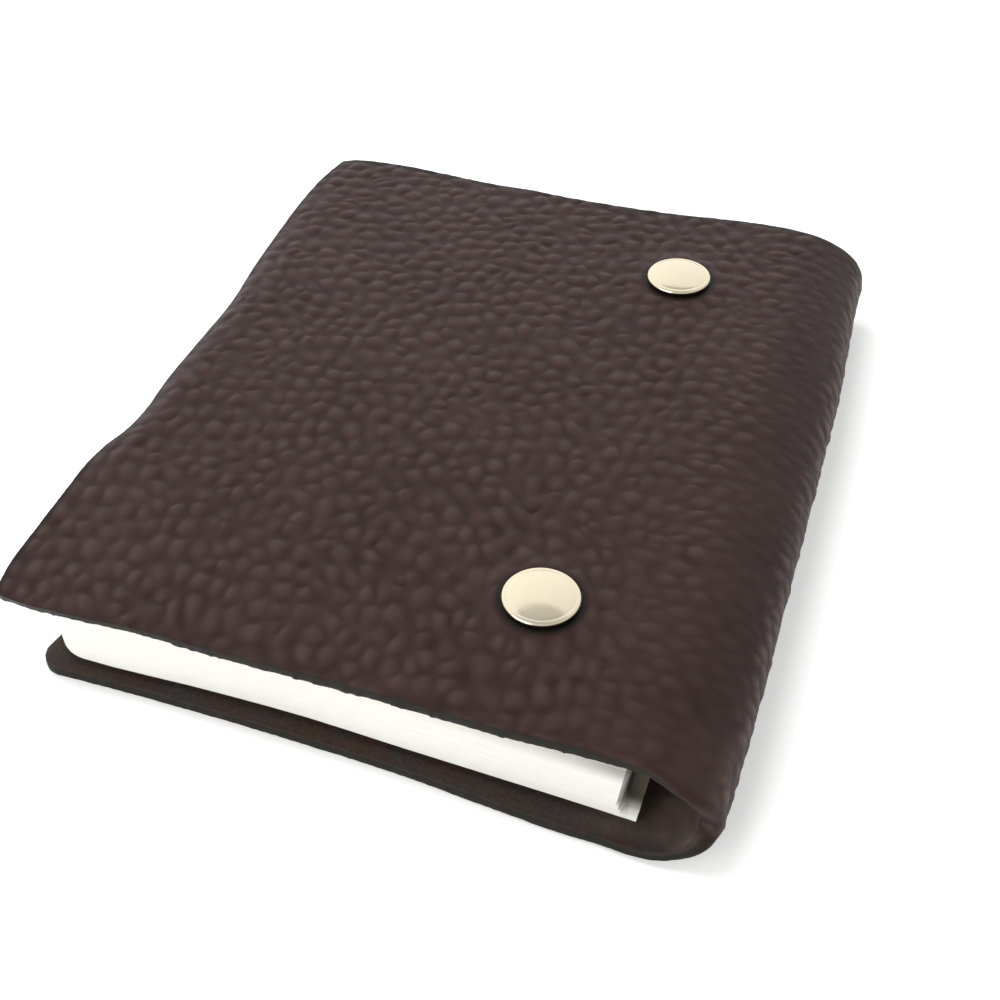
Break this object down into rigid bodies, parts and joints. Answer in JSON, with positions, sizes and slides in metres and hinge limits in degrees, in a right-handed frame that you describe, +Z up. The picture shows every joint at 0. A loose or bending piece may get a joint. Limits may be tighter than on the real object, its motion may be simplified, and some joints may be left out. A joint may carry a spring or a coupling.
{
  "type": "leather notebook",
  "caption": "Pocket notebook: thick pebbled leather wrap with a hollow rounded spine, and a block of cream leaves clamped by capped binding posts; covers and leaves open.",
  "frame": {"origin": "middle of the closed notebook's footprint, on the underside", "axes": "+X from the fore-edge to the spine, +Y from tail to head, +Z up through the front cover"},
  "size_m": [0.109, 0.132, 0.0191],
  "materials": {
    "leather": "pebbled, satin",
    "paper": "uncoated",
    "metal": "polished, pale gold plate"
  },
  "bodies": {
    "binding": {"spine_wrap": "leather", "head_end_post": "metal", "tail_end_post": "metal", "head_end_screw": "metal", "tail_end_screw": "metal", "margin_01": "paper", "margin_02": "paper", "margin_03": "paper", "margin_04": "paper", "margin_05": "paper", "margin_06": "paper", "margin_07": "paper", "margin_08": "paper", "margin_09": "paper", "margin_10": "paper"},
    "front_cover": {"front_cover_panel": "leather"},
    "back_cover": {"back_cover_panel": "leather"},
    "bundle_01": {"leaves_01": "paper"},
    "bundle_02": {"leaves_02": "paper"},
    "bundle_03": {"leaves_03": "paper"},
    "bundle_04": {"leaves_04": "paper"},
    "bundle_05": {"leaves_05": "paper"},
    "bundle_06": {"leaves_06": "paper"},
    "bundle_07": {"leaves_07": "paper"},
    "bundle_08": {"leaves_08": "paper"},
    "bundle_09": {"leaves_09": "paper"},
    "bundle_10": {"leaves_10": "paper"}
  },
  "joints": [
    {"name": "front_cover_hinge", "type": "hinge", "parent": "binding", "child": "front_cover", "pos_m": [0.0135, 0, 0.017], "axis": [0, 1, 0], "range_deg": [0, 150]},
    {"name": "back_cover_hinge", "type": "hinge", "parent": "binding", "child": "back_cover", "pos_m": [0.0135, 0, 0], "axis": [0, -1, 0], "range_deg": [0, 160]},
    {"name": "leaves_01_flex", "type": "hinge", "parent": "binding", "child": "bundle_01", "pos_m": [0.0095, 0, 0.015], "axis": [0, 1, 0], "range_deg": [0, 120]},
    {"name": "leaves_02_flex", "type": "hinge", "parent": "binding", "child": "bundle_02", "pos_m": [0.0077, 0, 0.0137], "axis": [0, 1, 0], "range_deg": [0, 97.5]},
    {"name": "leaves_03_flex", "type": "hinge", "parent": "binding", "child": "bundle_03", "pos_m": [0.0059, 0, 0.0124], "axis": [0, 1, 0], "range_deg": [0, 75]},
    {"name": "leaves_04_flex", "type": "hinge", "parent": "binding", "child": "bundle_04", "pos_m": [0.0041, 0, 0.0111], "axis": [0, 1, 0], "range_deg": [0, 52.5]},
    {"name": "leaves_05_flex", "type": "hinge", "parent": "binding", "child": "bundle_05", "pos_m": [0.0023, 0, 0.0098], "axis": [0, 1, 0], "range_deg": [0, 30]},
    {"name": "leaves_06_flex", "type": "hinge", "parent": "binding", "child": "bundle_06", "pos_m": [0.0023, 0, 0.0072], "axis": [0, -1, 0], "range_deg": [0, 32]},
    {"name": "leaves_07_flex", "type": "hinge", "parent": "binding", "child": "bundle_07", "pos_m": [0.0041, 0, 0.0059], "axis": [0, -1, 0], "range_deg": [0, 56]},
    {"name": "leaves_08_flex", "type": "hinge", "parent": "binding", "child": "bundle_08", "pos_m": [0.0059, 0, 0.0046], "axis": [0, -1, 0], "range_deg": [0, 80]},
    {"name": "leaves_09_flex", "type": "hinge", "parent": "binding", "child": "bundle_09", "pos_m": [0.0077, 0, 0.0033], "axis": [0, -1, 0], "range_deg": [0, 104]},
    {"name": "leaves_10_flex", "type": "hinge", "parent": "binding", "child": "bundle_10", "pos_m": [0.0095, 0, 0.002], "axis": [0, -1, 0], "range_deg": [0, 128]}
  ],
  "couplings": [
    {"joint": "leaves_01_flex", "follows": "front_cover_hinge", "ratio": 0.8},
    {"joint": "leaves_02_flex", "follows": "front_cover_hinge", "ratio": 0.65},
    {"joint": "leaves_03_flex", "follows": "front_cover_hinge", "ratio": 0.5},
    {"joint": "leaves_04_flex", "follows": "front_cover_hinge", "ratio": 0.35},
    {"joint": "leaves_05_flex", "follows": "front_cover_hinge", "ratio": 0.2},
    {"joint": "leaves_06_flex", "follows": "back_cover_hinge", "ratio": 0.2},
    {"joint": "leaves_07_flex", "follows": "back_cover_hinge", "ratio": 0.35},
    {"joint": "leaves_08_flex", "follows": "back_cover_hinge", "ratio": 0.5},
    {"joint": "leaves_09_flex", "follows": "back_cover_hinge", "ratio": 0.65},
    {"joint": "leaves_10_flex", "follows": "back_cover_hinge", "ratio": 0.8}
  ]
}
